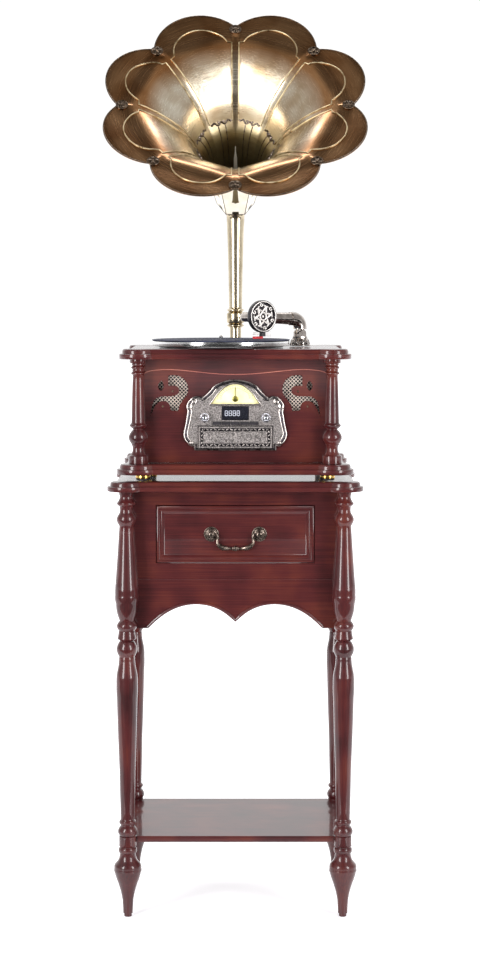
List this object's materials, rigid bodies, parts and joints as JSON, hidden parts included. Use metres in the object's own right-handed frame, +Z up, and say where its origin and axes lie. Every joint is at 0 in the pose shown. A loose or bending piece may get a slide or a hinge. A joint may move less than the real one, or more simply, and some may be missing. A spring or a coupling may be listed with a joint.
{
  "type": "gramophone cabinet",
  "caption": "Gramophone-style music cabinet: petalled horn and turntable over a radio case with corner columns, on a turned-leg stand with a drawer and a low shelf.",
  "frame": {"origin": "middle of the object's bounding box in plan, on the floor", "axes": "+Z up, -Y the way the drawer and the horn face, +X to the right seen from the front"},
  "size_m": [0.498, 0.4416, 1.7443],
  "materials": {
    "mahogany": "glossy red mahogany lacquer",
    "bare_wood": "unfinished drawer timber",
    "antique_brass": "antiqued brushed brass",
    "champagne": "polished pale brass",
    "nickel": "warm bright nickel plate",
    "pewter": "hammered antique silver casting",
    "bronze": "antiqued bronze",
    "mesh": "woven wire mesh",
    "chrome": "bright chrome",
    "platter_alloy": "polished alloy",
    "dial": "cream printed card",
    "olive": "olive hub and needle",
    "dark_glass": "black display window",
    "dark_plastic": "dark moulded plastic",
    "mat_rubber": "blue-black ribbed mat",
    "steel": "zinc plated steel",
    "speaker_cone": "dark speaker cone and basket",
    "circuit": "circuit board",
    "foot_gold": "gold ringed foot"
  },
  "bodies": {
    "cabinet": {"leg_front_left": "mahogany", "leg_front_right": "mahogany", "leg_rear_left": "mahogany", "leg_rear_right": "mahogany", "stand_top_board": "mahogany", "lower_shelf": "mahogany", "drawer_frame": "mahogany", "front_apron": "mahogany", "stand_side_left": "mahogany", "stand_side_right": "mahogany", "stand_back": "mahogany", "player_base_board": "mahogany", "player_top_board": "mahogany", "column_front_left": "mahogany", "foot_front_left": "foot_gold", "column_front_right": "mahogany", "foot_front_right": "foot_gold", "column_rear_left": "mahogany", "foot_rear_left": "foot_gold", "column_rear_right": "mahogany", "foot_rear_right": "foot_gold", "front_panel": "mahogany", "case_side_left": "mahogany", "case_side_right": "mahogany", "back_panel": "dark_plastic", "grille_mesh_left": "mesh", "speaker_left": "speaker_cone", "grille_mesh_right": "mesh", "speaker_right": "speaker_cone", "radio_bezel": "pewter", "dial_card": "dial", "display_window": "dark_glass", "disc_drive": "steel", "amplifier_board": "circuit", "deck_plate": "dark_plastic", "platter_motor": "steel", "arm_base": "nickel", "horn_socket": "champagne"},
    "drawer": {"drawer_front": "mahogany", "drawer_box": "bare_wood", "drawer_rosette_left": "bronze", "drawer_rosette_right": "bronze"},
    "bail": {"drawer_bail": "bronze"},
    "turntable": {"platter": "platter_alloy", "platter_mat": "mat_rubber"},
    "arm_pivot": {"arm_yoke": "nickel"},
    "arm": {"arm_tube": "nickel", "sound_box": "nickel", "cartridge": "dark_plastic"},
    "horn": {"horn_neck": "champagne", "horn_bell": "antique_brass"},
    "volume": {"volume_knob": "chrome"},
    "tuning": {"tuning_knob": "chrome"},
    "pointer": {"dial_pointer": "olive"},
    "tray": {"disc_tray": "pewter"},
    "button_1": {"radio_button_1": "dark_plastic"},
    "button_2": {"radio_button_2": "dark_plastic"},
    "button_3": {"radio_button_3": "dark_plastic"},
    "button_4": {"radio_button_4": "dark_plastic"},
    "button_5": {"radio_button_5": "dark_plastic"}
  },
  "joints": [
    {"name": "drawer_slide", "type": "slide", "parent": "cabinet", "child": "drawer", "axis": [0, -1, 0], "range_m": [0, 0.18]},
    {"name": "bail_swing", "type": "hinge", "parent": "drawer", "child": "bail", "pos_m": [0, -0.10956, 0.74], "axis": [-1, 0, 0], "range_deg": [0, 90]},
    {"name": "platter_spin", "type": "hinge", "parent": "cabinet", "child": "turntable", "pos_m": [-0.028, 0.00164, 1.097], "axis": [0, 0, 1], "continuous": true},
    {"name": "arm_swing", "type": "hinge", "parent": "cabinet", "child": "arm_pivot", "pos_m": [0.128, 0.08964, 1.11], "axis": [0, 0, 1], "range_deg": [-10, 30]},
    {"name": "arm_lift", "type": "hinge", "parent": "arm_pivot", "child": "arm", "pos_m": [0.128, 0.08964, 1.12], "axis": [-0.5592, 0.829, 0], "range_deg": [-0.6, 30]},
    {"name": "horn_swivel", "type": "hinge", "parent": "cabinet", "child": "horn", "pos_m": [0, 0.16164, 1.168], "axis": [0, 0, 1], "continuous": true},
    {"name": "volume_turn", "type": "hinge", "parent": "cabinet", "child": "volume", "pos_m": [-0.0587, -0.09156, 0.9625], "axis": [0, -1, 0], "range_deg": [-135, 135]},
    {"name": "tuning_turn", "type": "hinge", "parent": "cabinet", "child": "tuning", "pos_m": [0.0587, -0.09156, 0.9625], "axis": [0, -1, 0], "range_deg": [-150, 150]},
    {"name": "pointer_turn", "type": "hinge", "parent": "cabinet", "child": "pointer", "pos_m": [0, -0.09156, 0.998], "axis": [0, -1, 0], "range_deg": [-50, 50]},
    {"name": "tray_slide", "type": "slide", "parent": "cabinet", "child": "tray", "axis": [0, -1, 0], "range_m": [0, 0.12]},
    {"name": "button_1_press", "type": "slide", "parent": "cabinet", "child": "button_1", "axis": [0, 1, 0], "range_m": [0, 0.0015], "stiffness_N_per_m": 300},
    {"name": "button_2_press", "type": "slide", "parent": "cabinet", "child": "button_2", "axis": [0, 1, 0], "range_m": [0, 0.0015], "stiffness_N_per_m": 300},
    {"name": "button_3_press", "type": "slide", "parent": "cabinet", "child": "button_3", "axis": [0, 1, 0], "range_m": [0, 0.0015], "stiffness_N_per_m": 300},
    {"name": "button_4_press", "type": "slide", "parent": "cabinet", "child": "button_4", "axis": [0, 1, 0], "range_m": [0, 0.0015], "stiffness_N_per_m": 300},
    {"name": "button_5_press", "type": "slide", "parent": "cabinet", "child": "button_5", "axis": [0, 1, 0], "range_m": [0, 0.0015], "stiffness_N_per_m": 300}
  ],
  "couplings": [
    {"joint": "pointer_turn", "follows": "tuning_turn", "ratio": 0.33333}
  ]
}
